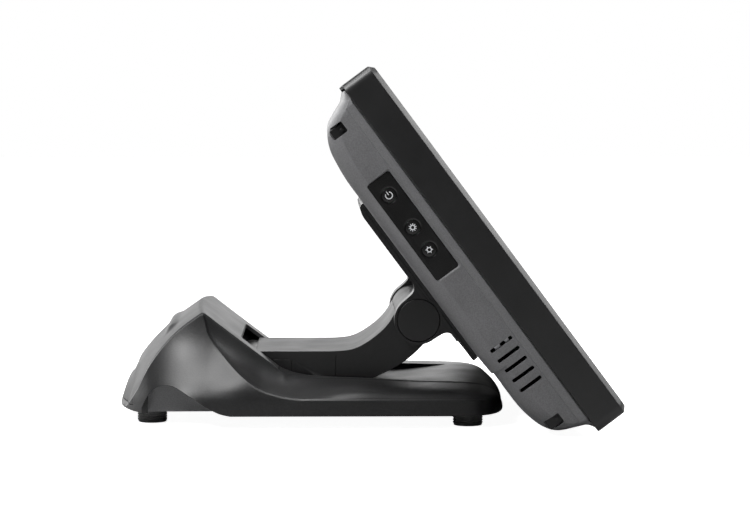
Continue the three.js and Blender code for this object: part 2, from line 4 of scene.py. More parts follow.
import bmesh
import bpy
import numpy as np
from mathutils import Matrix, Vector


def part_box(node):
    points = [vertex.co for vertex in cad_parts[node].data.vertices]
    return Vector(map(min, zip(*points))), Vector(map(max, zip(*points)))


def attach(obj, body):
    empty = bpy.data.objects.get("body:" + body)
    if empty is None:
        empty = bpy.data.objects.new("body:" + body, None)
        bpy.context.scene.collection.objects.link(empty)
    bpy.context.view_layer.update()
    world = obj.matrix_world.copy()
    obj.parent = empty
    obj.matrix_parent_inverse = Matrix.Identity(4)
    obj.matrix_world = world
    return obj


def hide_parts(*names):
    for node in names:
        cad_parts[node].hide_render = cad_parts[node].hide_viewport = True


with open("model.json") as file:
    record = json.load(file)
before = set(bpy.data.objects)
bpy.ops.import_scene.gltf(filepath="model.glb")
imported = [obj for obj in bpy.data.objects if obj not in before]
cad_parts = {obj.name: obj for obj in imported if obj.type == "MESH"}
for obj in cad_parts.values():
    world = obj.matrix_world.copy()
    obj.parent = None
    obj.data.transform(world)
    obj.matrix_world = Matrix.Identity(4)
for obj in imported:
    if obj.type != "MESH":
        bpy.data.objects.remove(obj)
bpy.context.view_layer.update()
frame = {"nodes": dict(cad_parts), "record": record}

MM = 0.001

# ---- driving dimensions, in millimetres ---------------------------------------------------------------
# The base and the arm are drawn in the design's own frame, and the head upright in another: X across,
# depth behind its front, and up the screen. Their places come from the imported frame.
LIFT = (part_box("lift_shaft")[0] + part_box("lift_shaft")[1]) / 2 / MM
TILT = (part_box("tilt_shaft")[0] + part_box("tilt_shaft")[1]) / 2 / MM
LIFT_PIVOT = (87.8, 33.4)
DESIGN_Y = LIFT.y - LIFT_PIVOT[0]
KNUCKLE = (TILT.y - DESIGN_Y, TILT.z)
LEAN = math.radians(36.62)
TILT_PIVOT = (83.3, -21.5)  # depth behind the head's front, and height up the screen
HEAD_Y = TILT.y - TILT_PIVOT[0] * math.cos(LEAN) - TILT_PIVOT[1] * math.sin(LEAN)
HEAD_Z = TILT.z + TILT_PIVOT[0] * math.sin(LEAN) - TILT_PIVOT[1] * math.cos(LEAN)

WALL = 2.6
HEAD = {"half_width": 185.0, "half_height": 152.0, "depth": 26.3, "corner": 8.0, "chamfer": 3.5}
SCREEN = {"half_width": 153.0, "half_height": 115.0}
PANE = {"half_width": 158.0, "half_height": 120.0, "front": 3.7, "back": 5.6}
# The housing's half widths, and the depths where its flange and its flat flank end.
HOUSING = {"flange": 182.4, "flank": 180.2, "corner": 9.0, "lip": 33.0, "fold": 52.5, "round": 11.0}
PORT_OPENING = {"half_width": 106, "low": -124, "high": -78}
LATCH_WINDOWS = {"upper": (41.4, 53.4, 124, 132.6), "lower": (41.2, 53.4, -132, -123.8)}
VENTS = (-61, -69.8, -78.5, -87.3, -96)
VENT = {"near": 35.4, "far": 53.6, "half_height": 1.35}
PANEL = {"near": 35.0, "far": 54.4, "low": 1.5, "high": 85.0, "face": -178.9}
BUTTONS = {"power_button": 70.5, "brightness_up_button": 42.5, "brightness_down_button": 23.0}
BUTTON = {"radius": 5.1, "depth": 45.4, "foot": 7, "foot_half_height": 4}
ICON_LEVELS = (-178.95, -178.7)
EAR = {"radius": 18.0, "inner": 59.5, "outer": 78.5, "cap": 15.7}
PLATE = {"front": 64.0, "back": 70.6, "top": 73.0, "bottom": -70.4}
PLATE_SCREWS = [(x, up) for x in (-50, 50) for up in (-50, 50)]
SHAFT_HOLE = {"lift": 6.4, "tilt": 5.4}
BASE = {"half_width": 125.0, "front": -102.6, "rear": 187.0, "bottom": 9.4}
NOSE = {"length": 48.0, "power": 3.8, "crown": 3.5}
TAIL = {"length": 72.0, "power": 2.45}
COVER = {"half_width": 85.0, "front": 66.0, "sill": 14.0}
DECK_HALF_WIDTH = 70.0
SLOT = {"half_width": 62.0, "rear": 94.3}
TROUGH = {"floor": 25.4, "front": -72.0, "rear": 56.0}
RIDGE_RADIUS = 3.0
FLANK_TURN = (88, 118)  # between these places the flank turns from steep to flared
CREASE_END = (118.5, 122.5)  # where the crease runs into the edge of the rear cover
ARCH_WALL = (90, 92.4)
FOOT = {"radius": 11.0, "height": 9.4, "rings": 4, "pitch": 1.9}

ARM_HALF_WIDTH = 58.5
LID_HALF_WIDTH = 57.4
LID_END = 83.4
LIFT_RADIUS = 15.6
KNUCKLE_RADIUS = 16.9
HATCH = {"front": 56.6, "rear": 80.0, "low": 28.0, "high": 44.6}
SIDE_JOINT = {"place": 23.1, "low": 28.0, "high": 47.2}
GROOVE = {"width": 0.45, "depth": 0.5}
SEAM = 0.6

SIDES = (("left", -1), ("right", 1))
# For a shape drawn across one axis: the columns of its two own directions, and the axis's column.
COLUMNS = {"x": (1, 2, 0), "y": (0, 2, 1), "z": (0, 1, 2)}

# The camera and the lights, in metres, watts and radians.
CAMERA = {"place": (-2.0348, 0.0286, 0.2388), "lens": 127.0, "sensor": 36, "pitch": 0.0579, "yaw": 0.0188}
FLOOR = {"reach": 9, "glow": 0.95, "card": 0.35}
# The backdrop's brightness by the direction's X and Z, and the brightness of the room round it.
BACKDROP = {"edge": 0.1, "full": 0.6, "top": 0.55, "bright": 0.12, "strength": 2.2, "room": 0.05}
SOFTBOXES = (
    # name, width and height, place, aim, power
    ("overhead softbox", (0.7, 1.1), (-0.05, 0.1, 1.1), (0, 0, 0.05), 16),
    ("rear side softbox", (0.4, 0.4), (-0.55, 0.5, 0.75), (-0.1, 0.1, 0.1), 7),
    ("front softbox", (0.9, 0.7), (0.0, -1.25, 0.95), (0, 0, 0.1), 16),
)


# ---- small tools --------------------------------------------------------------------------------------
def smooth_track(points):
    """A monotone curve through (place, value) points, for one place or an array of them."""
    places, values = (np.array(column, float) for column in zip(*points))
    steps = np.diff(values) / np.diff(places)
    slopes = np.zeros(len(places))
    slopes[0], slopes[-1] = steps[0], steps[-1]
    both = steps[:-1] * steps[1:] > 0
    slopes[1:-1][both] = 2 * steps[:-1][both] * steps[1:][both] / (steps[:-1] + steps[1:])[both]

    def at(place):
        place = np.clip(place, places[0], places[-1])
        i = np.clip(np.searchsorted(places, place) - 1, 0, len(steps) - 1)
        span = places[i + 1] - places[i]
        t = (place - places[i]) / span
        return (
            values[i] * (1 + 2 * t) * (1 - t) ** 2
            + slopes[i] * span * t * (1 - t) ** 2
            + values[i + 1] * t * t * (3 - 2 * t)
            + slopes[i + 1] * span * t * t * (t - 1)
        )

    return at


def ramp(value, start, end):
    """0 before start, 1 after end, with a smooth rise between them."""
    t = np.clip((value - start) / (end - start), 0, 1)
    return t * t * (3 - 2 * t)


def quadratic(start, control, end, count):
    """Points on a quadratic curve, both ends included."""
    t = np.linspace(0, 1, count)[:, None]
    return (1 - t) ** 2 * np.array(start) + 2 * t * (1 - t) * np.array(control) + t**2 * np.array(end)


def cubic(start, first, second, end, count):
    t = np.linspace(0, 1, count)[:, None]
    curve = (1 - t) ** 3 * np.array(start) + 3 * t * (1 - t) ** 2 * np.array(first)
    return curve + 3 * t**2 * (1 - t) * np.array(second) + t**3 * np.array(end)


def outline(points, steps=8):
    """A closed outline through (a, b) points; a third number rounds that corner."""
    made = []
    count = len(points)
    for i, point in enumerate(points):
        corner = np.array(point[:2], float)
        radius = point[2] if len(point) > 2 else 0
        if not radius:
            made.append(corner)
            continue
        ends = []
        for other in (points[i - 1], points[(i + 1) % count]):
            step = np.array(other[:2], float) - corner
            length = np.linalg.norm(step)
            ends.append(corner + step / length * min(radius, length / 2))
        made.extend(quadratic(ends[0], corner, ends[1], steps + 1))
    return np.array(made)


def rectangle(a0, a1, b0, b1, radius=0.0, steps=8):
    return outline([(a0, b0, radius), (a1, b0, radius), (a1, b1, radius), (a0, b1, radius)], steps)


def mesh_object(name, vertices, faces):
    mesh = bpy.data.meshes.new(name)
    mesh.from_pydata([tuple(v) for v in vertices], [], faces)
    mesh.update()
    made = bpy.data.objects.new(name, mesh)
    bpy.context.scene.collection.objects.link(made)
    return made


def facing_out(made):
    """Merges doubled vertices and turns the faces outwards."""
    b = bmesh.new()
    b.from_mesh(made.data)
    bmesh.ops.remove_doubles(b, verts=b.verts, dist=1e-4)
    bmesh.ops.recalc_face_normals(b, faces=b.faces)
    b.to_mesh(made.data)
    b.free()
    return made


def lofted(name, rings):
    """A closed solid through closed rings that all have the same number of points."""
    count = len(rings[0])
    vertices = np.concatenate(rings)
    faces = []
    for row in range(len(rings) - 1):
        for i in range(count):
            a, b = row * count + i, row * count + (i + 1) % count
            faces.append((a, b, b + count, a + count))
    faces.append(tuple(range(count))[::-1])
    last = (len(rings) - 1) * count
    faces.append(tuple(range(last, last + count)))
    return facing_out(mesh_object(name, vertices, faces))


def ring_at(axis, line, level):
    """A flat outline as 3-D points at one level of an axis."""
    first, second, across = COLUMNS[axis]
    ring = np.zeros((len(line), 3))
    ring[:, first] = line[:, 0]
    ring[:, second] = line[:, 1]
    ring[:, across] = level
    return ring


def prism(axis, line, low, high):
    """An outline extruded along one axis; the outline is drawn in the other two, in alphabetic order."""
    return lofted("prism", [ring_at(axis, line, level) for level in (low, high)])


def block(x0, x1, y0, y1, z0, z1):
    return prism("z", rectangle(x0, x1, y0, y1), z0, z1)


def turned(axis, centre, profile, sides=64):
    """A solid of revolution about a line along one axis, through (radius, level) pairs."""
    turns = np.linspace(0, 2 * math.pi, sides, endpoint=False)
    circle = np.c_[np.cos(turns), np.sin(turns)]
    rings = [ring_at(axis, np.array(centre) + radius * circle, level) for radius, level in profile]
    return lofted("turned", rings)


def rod(axis, centre, radius, low, high, sides=48):
    return turned(axis, centre, [(radius, low), (radius, high)], sides)


def apply_modifiers(made):
    graph = bpy.context.evaluated_depsgraph_get()
    mesh = bpy.data.meshes.new_from_object(made.evaluated_get(graph))
    old = made.data
    made.modifiers.clear()
    made.data = mesh
    bpy.data.meshes.remove(old)
    return made


def combined(target, operation, others):
    for other in others:
        modifier = target.modifiers.new("combine", "BOOLEAN")
        modifier.operation = operation
        modifier.solver = "MANIFOLD"
        modifier.object = other
        other.hide_render = True
    apply_modifiers(target)
    for other in others:
        bpy.data.objects.remove(other)
    return target


def cut(target, *others):
    return combined(target, "DIFFERENCE", others)


def join(target, *others):
    return combined(target, "UNION", others)


def common(target, *others):
    return combined(target, "INTERSECT", others)


def soften(made, width, angle=35, segments=2):
    """Rounds the edges that are sharper than an angle."""
    modifier = made.modifiers.new("soften", "BEVEL")
    modifier.width = width
    modifier.segments = segments
    modifier.limit_method = "ANGLE"
    modifier.angle_limit = math.radians(angle)
    modifier.use_clamp_overlap = True
    return apply_modifiers(made)


def shaded(made, angle=32):
    """Smooth shading that keeps edges over an angle sharp and flat faces flat."""
    made.data.shade_smooth()
    made.data.set_sharp_from_angle(angle=math.radians(angle))
    weighted = made.modifiers.new("weighted normals", "WEIGHTED_NORMAL")
    weighted.keep_sharp = True
    return made


def in_design(points):
    """Row-frame places, in metres, of points in the design's frame."""
    moved = points.copy()
    moved[:, 1] += DESIGN_Y
    return moved * MM


def in_head(points):
    """Row-frame places, in metres, of points in the head's upright frame."""
    x, depth, up = points.T
    y = HEAD_Y + depth * math.cos(LEAN) + up * math.sin(LEAN)
    z = HEAD_Z - depth * math.sin(LEAN) + up * math.cos(LEAN)
    return np.c_[x, y, z] * MM


def piece(made, name, place, body, slot, replaces=(), material=None):
    """Puts a finished shape in the row frame, on its body, with its slot's finish or one of its own."""
    mesh = made.data
    points = np.zeros(len(mesh.vertices) * 3)
    mesh.vertices.foreach_get("co", points)
    mesh.vertices.foreach_set("co", place(points.reshape(-1, 3)).ravel())
    mesh.update()
    made.name = mesh.name = name
    mesh.materials.clear()
    mesh.materials.append(material or FINISH[slot])
    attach(made, body)
    if replaces:
        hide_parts(*replaces)
    return made


def span(side, inner, outer):
    """The two X places between an inner and an outer distance on one side, the lower one first."""
    return (-outer, -inner) if side < 0 else (inner, outer)


# ---- materials ----------------------------------------------------------------------------------------
class Nodes:
    """A material's node tree, with short calls to add and join nodes."""

    def __init__(self, name):
        self.material = bpy.data.materials.new(name)
        self.material.use_nodes = True
        self.tree = self.material.node_tree
        self.shader = self.tree.nodes["Principled BSDF"]
        self.place = self.add("ShaderNodeTexCoord").outputs["Object"]

    def add(self, kind, inputs=None, **settings):
        node = self.tree.nodes.new(kind)
        for key, value in settings.items():
            setattr(node, key, value)
        for key, value in (inputs or {}).items():
            if isinstance(value, bpy.types.NodeSocket):
                self.tree.links.new(value, node.inputs[key])
            else:
                node.inputs[key].default_value = value
        return node

    def noise(self, scale, detail=2.0, roughness=0.5):
        inputs = {"Vector": self.place, "Scale": scale, "Detail": detail, "Roughness": roughness}
        return self.add("ShaderNodeTexNoise", inputs).outputs["Fac"]

    def spread(self, value, low, high, from_low=0.3, from_high=0.7):
        inputs = {"Value": value, "From Min": from_low, "From Max": from_high, "To Min": low, "To Max": high}
        return self.add("ShaderNodeMapRange", inputs).outputs["Result"]

    def shades(self, value, dark, light):
        node = self.add("ShaderNodeMix", {"Factor": value}, data_type="RGBA")
        node.inputs["A"].default_value = (*dark, 1)
        node.inputs["B"].default_value = (*light, 1)
        return node.outputs["Result"]

    def set(self, **values):
        for key, value in values.items():
            socket = self.shader.inputs[key.replace("_", " ").title().replace("Ior", "IOR")]
            if isinstance(value, bpy.types.NodeSocket):
                self.tree.links.new(value, socket)
            else:
                socket.default_value = value

    def bump(self, height, distance, strength=1.0, normal=None):
        inputs = {"Height": height, "Distance": distance, "Strength": strength}
        if normal is not None:
            inputs["Normal"] = normal
        return self.add("ShaderNodeBump", inputs).outputs["Normal"]


COOL = (1.0, 1.0, 1.03)


def moulded_plastic(name, shade, roughness, grain=900.0, depth=0.00005, speckle=0.12):
    """Plastic with a faint mottling of colour and gloss. A depth gives it a grain and rounded edges."""
    n = Nodes(name)
    mottle = n.noise(35, 3)
    fine = n.noise(grain, 2, 0.6)
    dark = [shade * 0.93 * c for c in COOL]
    light = [shade * 1.07 * c for c in COOL]
    base = n.shades(n.spread(mottle, 0, 1), dark, light)
    speck = n.spread(n.noise(grain * 1.3, 1), 1 - speckle, 1 + speckle)
    tinted = n.add("ShaderNodeVectorMath", {0: base, "Scale": speck}, operation="SCALE").outputs[0]
    n.set(base_color=tinted, roughness=n.spread(mottle, roughness - 0.04, roughness + 0.05))
    if depth:
        edge = n.add("ShaderNodeBevel", {"Radius": 0.0004}, samples=6).outputs["Normal"]
        n.set(normal=n.bump(fine, depth, 0.7, edge))
    return n.material


def gloss_plastic(name, shade, roughness=0.16):
    """Polished plastic with a faint orange-peel ripple and fine wiping marks in its gloss."""
    n = Nodes(name)
    smear = n.noise(60, 4, 0.7)
    n.set(base_color=n.shades(smear, [shade * 0.9] * 3, [shade * 1.1] * 3))
    n.set(roughness=n.spread(smear, roughness - 0.04, roughness + 0.08))
    edge = n.add("ShaderNodeBevel", {"Radius": 0.0003}, samples=4).outputs["Normal"]
    n.set(normal=n.bump(n.noise(250, 1), 0.00002, 0.3, edge))
    return n.material


def rubber(name, shade):
    n = Nodes(name)
    dust = n.noise(140, 4, 0.65)
    n.set(base_color=n.shades(n.spread(dust, 0, 1), [shade * 0.8] * 3, [shade * 1.3] * 3))
    n.set(roughness=n.spread(dust, 0.66, 0.86), normal=n.bump(n.noise(1500, 2), 0.00005, 0.8))
    n.shader.inputs["Specular IOR Level"].default_value = 0.35
    return n.material


def metal(name, color, roughness, brushed=(1.0, 1.0, 1.0)):
    """Sheet or turned metal with brushing along one axis and a cloudy gloss."""
    n = Nodes(name)
    stretched = n.add("ShaderNodeVectorMath", {0: n.place, 1: brushed}, operation="MULTIPLY").outputs[0]
    inputs = {"Vector": stretched, "Scale": 500.0, "Detail": 2.0}
    lines = n.add("ShaderNodeTexNoise", inputs).outputs["Fac"]
    cloud = n.noise(90, 3)
    n.set(base_color=n.shades(cloud, [c * 0.86 for c in color], color), metallic=1.0)
    n.set(roughness=n.spread(lines, roughness - 0.06, roughness + 0.1))
    n.set(normal=n.bump(lines, 0.00002, 0.5))
    return n.material


def circuit_board(name):
    """Green board with copper tracks under its lacquer."""
    n = Nodes(name)
    inputs = {"Vector": n.place, "Scale": 260.0}
    cells = n.add("ShaderNodeTexVoronoi", inputs, distance="MANHATTAN", feature="DISTANCE_TO_EDGE")
    tracks = cells.outputs["Distance"]
    n.set(base_color=n.shades(n.spread(tracks, 0, 1, 0.03, 0.06), (0.05, 0.2, 0.09), (0.02, 0.1, 0.04)))
    n.set(roughness=n.spread(n.noise(80), 0.35, 0.5), normal=n.bump(tracks, 0.0001, 0.4))
    return n.material


def nylon(name):
    n = Nodes(name)
    cloud = n.noise(120, 3)
    n.set(base_color=n.shades(cloud, (0.62, 0.6, 0.54), (0.74, 0.72, 0.66)))
    n.set(roughness=n.spread(cloud, 0.4, 0.55), normal=n.bump(n.noise(900), 0.00003, 0.5))
    return n.material


def glass(name):
    """The touch screen: dark anti-glare glass over an unlit panel."""
    n = Nodes(name)
    smear = n.noise(25, 5, 0.7)
    n.set(base_color=n.shades(smear, (0.008, 0.009, 0.011), (0.012, 0.013, 0.016)))
    n.set(roughness=n.spread(smear, 0.28, 0.36), normal=n.bump(n.noise(1800, 1), 0.000008, 0.4))
    return n.material


def print_white(name):
    n = Nodes(name)
    n.set(base_color=n.shades(n.noise(400, 2), (0.66, 0.67, 0.69), (0.8, 0.81, 0.83)), roughness=0.45)
    n.set(normal=n.bump(n.noise(1500), 0.00002, 0.3))
    return n.material


FINISH = {
    "charcoal_plastic": moulded_plastic(
        "charcoal plastic", shade=0.014, roughness=0.4, grain=700, depth=0.00012, speckle=0.2),
    "grey_cover_plastic": moulded_plastic(
        "grey cover plastic", shade=0.028, roughness=0.46, grain=700, depth=0.0001, speckle=0.16),
    "satin_black_plastic": moulded_plastic("satin black plastic", shade=0.009, roughness=0.38, depth=0.00004),
    "gloss_black_plastic": gloss_plastic("gloss black plastic", shade=0.012),
    "screen_glass": glass("screen glass"),
    "foot_rubber": rubber("foot rubber", shade=0.15),
    "steel": metal("zinc plated steel", (0.6, 0.61, 0.63), roughness=0.34, brushed=(1, 0.08, 1)),
    "aluminium": metal("aluminium", (0.78, 0.79, 0.8), roughness=0.36, brushed=(0.08, 1, 1)),
    "circuit_board": circuit_board("circuit board"),
    "nylon": nylon("nylon"),
}
# The bezel's moulding reads a little lighter and smoother than the rest of its slot. The housing and the arch
# walls are the charcoal plastic painted much lighter than the base: painted light on the housing's sides, and
# painted light in place of the shade that the arches cast on their walls.
BEZEL_FINISH = moulded_plastic(
    "bezel plastic", shade=0.014, roughness=0.36, grain=700, depth=0.0, speckle=0.03)
HOUSING_PAINTED_LIGHT_FINISH = moulded_plastic("housing plastic with painted light", shade=0.15, roughness=0.44, depth=0.0001, speckle=0.14)
ARCH_PAINTED_LIGHT_FINISH = moulded_plastic("arch wall plastic with painted light", shade=0.26, roughness=0.5, depth=0.0001, speckle=0.14)
PRINT = print_white("white print")


# ---- the base -----------------------------------------------------------------------------------------
front_height = smooth_track([
    (-102.6, 12), (-102.3, 16), (-101, 19.3), (-98.6, 22.3), (-94.9, 24.8), (-89, 26.9), (-81, 28.1),
    (-66, 28.9), (-33, 29.8), (0, 31.2), (40, 33), (52, 35), (62, 38.3), (75.7, 48), (135, 93.1),
])
rear_height = smooth_track([
    (100, 98), (120.9, 83.4), (138.6, 70.4), (149.7, 59.3), (160.8, 44.5), (166.7, 33.4), (170.5, 24),
    (173, 16), (174, 12),
])
crease_height = smooth_track([
    (-102.6, 11.4), (-102.3, 14), (-101, 17), (-98.6, 19.4), (-94.9, 20.7), (-89, 21), (48, 21),
    (60, 22.2), (69, 24.4), (78, 27.4), (86, 32), (95.5, 39.5), (105, 49), (113.5, 59.5), (117.5, 66.5),
    (120, 73.5), (122, 81),
])
# The flank's half width at each height, where the plan is widest. Beside the hump it is a skirt, a flare
# and a steep top, and forward of the hump the skirt stays steep.
flared_half_width = smooth_track([
    (9, 125), (15, 124.9), (21, 124.2), (27, 121.6), (32, 117.6), (39.5, 110), (49, 101.6), (59.5, 94.8),
    (66.5, 91.8), (73.5, 89.6), (81, 88), (90, 87.6),
])
steep_half_width = smooth_track([
    (9, 125), (21, 124.4), (27, 123.2), (32, 121.2), (39.5, 115.5), (49, 105.5), (59.5, 95.8), (66.5, 92),
    (73.5, 89.6), (81, 88), (90, 87.6),
])
shoulder_half_width = smooth_track([(20, DECK_HALF_WIDTH), (62, COVER["half_width"] + 1)])
rear_crown = smooth_track([(155, 9.5), (BASE["rear"], 13)])
nose_crown = smooth_track([(-60, NOSE["crown"]), (20, 0.0)])


def plan_half_width(y):
    """Half the width of the base at the floor: straight sides with superelliptic ends."""
    end = NOSE if y < 0 else TAIL
    outward = BASE["front"] + end["length"] - y if y < 0 else y - (BASE["rear"] - end["length"])
    share = min(max(outward / end["length"], 0), 0.99999)
    return BASE["half_width"] * (1 - share ** end["power"]) ** (1 / end["power"])


def top_height(x, y):
    """The upper surface: nose, deck and hump, with the finger ledge and the dent at the hump's back."""
    across = np.minimum(np.abs(x) / COVER["half_width"], 1) ** 2
    ledge_across = 1 - ramp(np.abs(x), 55, 60)
    ledge = 2.6 * ramp(y, 140.5, 148) * (1 - ramp(y, 148.6, 151.4)) * ledge_across
    dent = 1.3 * ramp(y, 174.6, 175.6) * (1 - ramp(y, 179, 180.5)) * (1 - ramp(np.abs(x), 62, 66))
    front = front_height(y - nose_crown(y) * across)
    rear = rear_height(y - rear_crown(y) * (1 - across) + dent)
    blend = np.maximum(RIDGE_RADIUS - np.abs(front - rear), 0) ** 2 / (4 * RIDGE_RADIUS)
    return np.minimum(front, rear) - blend + ledge


def resampled(points, start, end, count):
    """A polyline at equal steps, without a length at its start and one at its end."""
    lengths = np.r_[0, np.cumsum(np.linalg.norm(np.diff(points, axis=0), axis=1))]
    total = lengths[-1]
    at = np.linspace(min(start, total * 0.45), total - min(end, total * 0.45), count)
    return np.c_[np.interp(at, lengths, points[:, 0]), np.interp(at, lengths, points[:, 1])]


def chained(stretches, radii, counts, arc=5):
    """Joins polylines end to end, with each joint rounded by its radius."""
    made = []
    for i, (stretch, count) in enumerate(zip(stretches, counts)):
        before = radii[i - 1] if i else 0
        after = radii[i] if i < len(radii) else 0
        part = resampled(stretch, before, after, count)
        if made:
            made.append(quadratic(made[-1][-1], stretch[0], part[0], arc + 2)[1:-1])
        made.append(part)
    return np.concatenate(made)


def rounded_bottom(y):
    """The height of the bottom edge, which curls up a little at the base's two ends."""
    radius = 2.6
    from_end = min(max(min(y - BASE["front"], BASE["rear"] - y), 0), radius)
    lift = radius - math.sqrt(radius**2 - (radius - from_end) ** 2)
    return BASE["bottom"] + lift * 0.7


def flank_line(y, plan, inset, bottom_z, crease_z):
    """The flank from its bottom edge up to the crease, as (x, z)."""
    heights = np.linspace(bottom_z, max(crease_z, bottom_z + 0.3), 48)
    flared = float(ramp(y, *FLANK_TURN))
    widths = flared_half_width(heights) * flared + steep_half_width(heights) * (1 - flared)
    return np.c_[widths / BASE["half_width"] * (plan + inset) - inset, heights]


def ledge_line(y, crease):
    """The narrow chamfer along the crease, which fades out at the nose and at the top of the hump."""
    width = 0.3 + 1.6 * float(ramp(y, -98, -70) * (1 - ramp(y, 116, 121)))
    return np.array([crease, crease + np.array([-0.75, 0.66]) * width])


def cove_line(y, start, shoulder):
    """From the ledge up to the shoulder: rounded outwards beside the deck and hollow beside the hump."""
    rise = shoulder - start
    hollow = float(ramp(y, 0, 80))
    first = start + rise * (0.6 * hollow, 0.7 - 0.57 * hollow)
    second = shoulder - rise * (0.7 - 0.63 * hollow, 0.08 + 0.45 * hollow)
    return cubic(start, first, second, shoulder, 40)


def base_half_section(y, inset):
    """Half a section across the base as (x, z), from the bottom middle round the flank to the top middle."""
    near = np.array([y - inset, y, y + inset]) if inset > 0 else np.array([y])
    sink = inset * 0.6

    def top(x):
        return np.min([top_height(x, place) for place in near], axis=0) - sink

    plan = max(min(plan_half_width(place) for place in near) - inset, 1.0)
    shoulder_x = min(float(shoulder_half_width(y)), plan * 0.9)
    shoulder = np.array([shoulder_x, float(top(np.array(shoulder_x))) - 0.5])
    behind = float(ramp(y, *CREASE_END))
    free = min(float(np.min(crease_height(near))) - sink, shoulder[1] - 1)
    crease_z = free * (1 - behind) + (shoulder[1] - 1) * behind
    bottom_z = BASE["bottom"] - 5 if inset > 0 else rounded_bottom(y)
    flank = flank_line(y, plan, inset, bottom_z, crease_z)
    ledge = ledge_line(y, flank[-1])
    cove = cove_line(y, ledge[-1], shoulder)
    xs = np.linspace(shoulder[0], 0, 40)
    over = np.c_[xs, top(xs)]
    over[0] = shoulder
    under = np.array([(0, bottom_z), flank[0]])
    if inset > 0:
        return chained([under, flank, cove, over], [0.3, 0.3, 0.5], [3, 12, 8, 12], 1)
    return chained([under, flank, ledge, cove, over], [1.4, 0.5, 0.3, 2.2], [4, 30, 2, 18, 26])


# Distances of the sections from the base's two ends, close together where the ends round off.
FRONT_STEPS = (0.02, 0.08, 0.2, 0.4, 0.7, 1.1, 1.6, 2.3, 3.2, 4.4, 6, 8, 10.5, 13.5, 17, 21, 26)
REAR_STEPS = (22, 18, 14.5, 11.5, 9, 7, 5.4, 4.2, 3.2, 2.4, 1.7, 1.1, 0.7, 0.4, 0.2, 0.08, 0.02)


def base_solid(inset):
    """The whole base as one closed solid, or its hollow."""
    if inset > 0:
        stations = np.linspace(BASE["front"] + inset + 2, BASE["rear"] - inset - 3.5, 70)
    else:
        start = BASE["front"] + np.array(FRONT_STEPS)
        finish = BASE["rear"] - np.array(REAR_STEPS)
        stations = np.r_[start, np.linspace(-71, 45, 16), np.arange(48, 163, 1.5), finish]
    rings = []
    for y in stations:
        half = base_half_section(float(y), inset)
        mirrored = half[1:-1][::-1] * np.array([-1.0, 1.0])
        ring = np.concatenate([half, mirrored])
        rings.append(ring_at("y", ring, y))
    return lofted("base", rings)


def trough_cutter(grow):
    half = SLOT["half_width"] + grow
    floor = TROUGH["floor"] - grow
    line = outline([
        (TROUGH["rear"] + grow, floor), (TROUGH["rear"] + grow, 90), (TROUGH["front"] - grow, 90),
        (TROUGH["front"] - grow, 29.6 - grow), (-28, floor, 12),
    ])
    return prism("x", line, -half, half)


def slot_cutter():
    """The opening in the hump's front slope, with round corners at its rear end."""
    half = SLOT["half_width"]
    front = TROUGH["rear"] - 2
    line = outline([(-half, front), (half, front), (half, SLOT["rear"], 7), (-half, SLOT["rear"], 7)])
    return prism("z", line, TROUGH["floor"], 95)


ARCH = outline([
    (171, 4), (167.8, 9.3), (161.8, 22.3, 6), (156, 28.9, 5), (148.5, 31.4, 5), (140.6, 30.4, 6),
    (121, 18.4, 12), (109.3, 11.4, 5), (99, 9.2), (96, 4),
])


def arch_cutters():
    return [prism("x", ARCH, *span(side, 99, 130)) for _, side in SIDES]


def cover_region(clear):
    half = COVER["half_width"] + clear
    return block(-half, half, COVER["front"] - clear, BASE["rear"] + 5, COVER["sill"] - clear, 110)


def biggest_body(made):
    """Drops the crumbs that a cut can leave."""
    b = bmesh.new()
    b.from_mesh(made.data)
    b.verts.ensure_lookup_table()
    unseen = set(b.verts)
    groups = []
    while unseen:
        stack = [unseen.pop()]
        group = set(stack)
        while stack:
            for edge in stack.pop().link_edges:
                for vertex in edge.verts:
                    if vertex in unseen:
                        unseen.discard(vertex)
                        group.add(vertex)
                        stack.append(vertex)
        groups.append(group)
    groups.sort(key=len)
    for group in groups[:-1]:
        bmesh.ops.delete(b, geom=list(group), context="VERTS")
    b.to_mesh(made.data)
    b.free()
    return made


def base_skin():
    hollow = cut(base_solid(WALL), trough_cutter(WALL))
    return cut(base_solid(0), trough_cutter(0), slot_cutter(), hollow, *arch_cutters())


def make_base():
    shell = biggest_body(cut(base_skin(), cover_region(SEAM)))
    shaded(shell)
    piece(shell, "base_shell", in_design, "base", "charcoal_plastic", ["base_top_shell"])
    cover = biggest_body(common(base_skin(), cover_region(0)))
    shaded(cover)
    piece(cover, "rear_cover", in_design, "base", "grey_cover_plastic", ["base_rear_cover"])


def make_arch_panels():
    """The flat walls set back in the cable arches."""
    line = outline([
        (167, 9.6), (165.4, 17, 4), (160, 26.6, 6), (152, 38, 5), (138, 44, 6), (112, 42, 8), (96, 32, 4),
        (82, 24, 2), (82, 9.8),
    ])
    for name, side in SIDES:
        wall = soften(prism("x", line, *span(side, *ARCH_WALL)), 0.3)
        # The walls wear the charcoal plastic painted much lighter: painted light in place of the shade that
        # the arch casts on them.
        piece(shaded(wall), f"arch_wall_{name}", in_design, "base", "charcoal_plastic",
              [f"cable_arch_panel_{name}"], ARCH_PAINTED_LIGHT_FINISH)


def make_feet():
    """Round rubber feet with grip rings moulded into their sides."""
    radius, height = FOOT["radius"], FOOT["height"]
    profile = [(0.01, 0.0), (radius - 1.4, 0.0)]
    for turn in np.linspace(0.2, math.pi / 2, 5):
        profile.append((radius - 1.4 + 0.9 * math.sin(turn), 0.9 - 0.9 * math.cos(turn)))
    for i in range(FOOT["rings"]):
        z = 1.4 + i * FOOT["pitch"]
        profile += [(radius - 0.5, z), (radius, z + 0.5), (radius, z + 1.1), (radius - 0.5, z + 1.5)]
    profile += [(radius - 0.5, height - 0.3), (radius - 0.8, height), (0.01, height)]
    for row in ("front", "rear"):
        for name, _ in SIDES:
            node = f"foot_{row}_{name}"
            low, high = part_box(node)
            middle = (low + high) / 2 / MM
            foot = shaded(turned("z", (middle.x, middle.y - DESIGN_Y), profile), 50)
            piece(foot, f"rubber_{node}", in_design, "base", "foot_rubber", [node])


